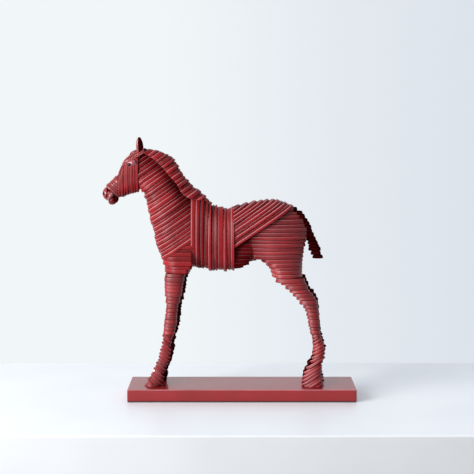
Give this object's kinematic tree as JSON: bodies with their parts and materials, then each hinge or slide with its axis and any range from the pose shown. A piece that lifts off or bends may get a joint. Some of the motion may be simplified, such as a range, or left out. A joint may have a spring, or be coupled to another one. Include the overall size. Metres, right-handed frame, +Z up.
{
  "type": "horse sculpture",
  "caption": "Standing foal ornament in glossy red, its body built from stacked slats that change direction by body part, on a plain rectangular base.",
  "frame": {"origin": "centre of the felt's underside, on the surface that the ornament stands on", "axes": "+Z up; the foal faces -X; its left side faces -Y; the base's long sides run along X"},
  "size_m": [0.4223, 0.096, 0.4368],
  "materials": {
    "body_lacquer": "satin-gloss red lacquer on cast resin",
    "eye_gloss": "gloss dark red lacquer on cast resin",
    "base_lacquer": "satin red lacquer, smooth",
    "felt": "thin black felt",
    "steel": "zinc-plated steel"
  },
  "bodies": {
    "root": {"base_plate": "base_lacquer", "base_felt": "felt", "chest": "body_lacquer", "girth_band": "body_lacquer", "flank": "body_lacquer", "haunch": "body_lacquer", "loin": "body_lacquer", "tail": "body_lacquer", "shoulder": "body_lacquer", "mane": "body_lacquer", "muzzle": "body_lacquer", "nose": "body_lacquer", "chin": "body_lacquer", "neck": "body_lacquer", "cheeks": "body_lacquer", "forehead": "body_lacquer", "ear_left": "body_lacquer", "ear_right": "body_lacquer", "foreleg_lower_left": "body_lacquer", "foreleg_upper_left": "body_lacquer", "foreleg_lower_right": "body_lacquer", "foreleg_upper_right": "body_lacquer", "hindleg_lower_left": "body_lacquer", "hindleg_upper_left": "body_lacquer", "hindleg_lower_right": "body_lacquer", "hindleg_upper_right": "body_lacquer", "eye_left": "eye_gloss", "eye_right": "eye_gloss", "rod_fore_left": "steel", "washer_fore_left": "steel", "nut_fore_left": "steel", "rod_fore_right": "steel", "washer_fore_right": "steel", "nut_fore_right": "steel", "rod_hind_left": "steel", "washer_hind_left": "steel", "nut_hind_left": "steel", "rod_hind_right": "steel", "washer_hind_right": "steel", "nut_hind_right": "steel"}
  },
  "joints": []
}
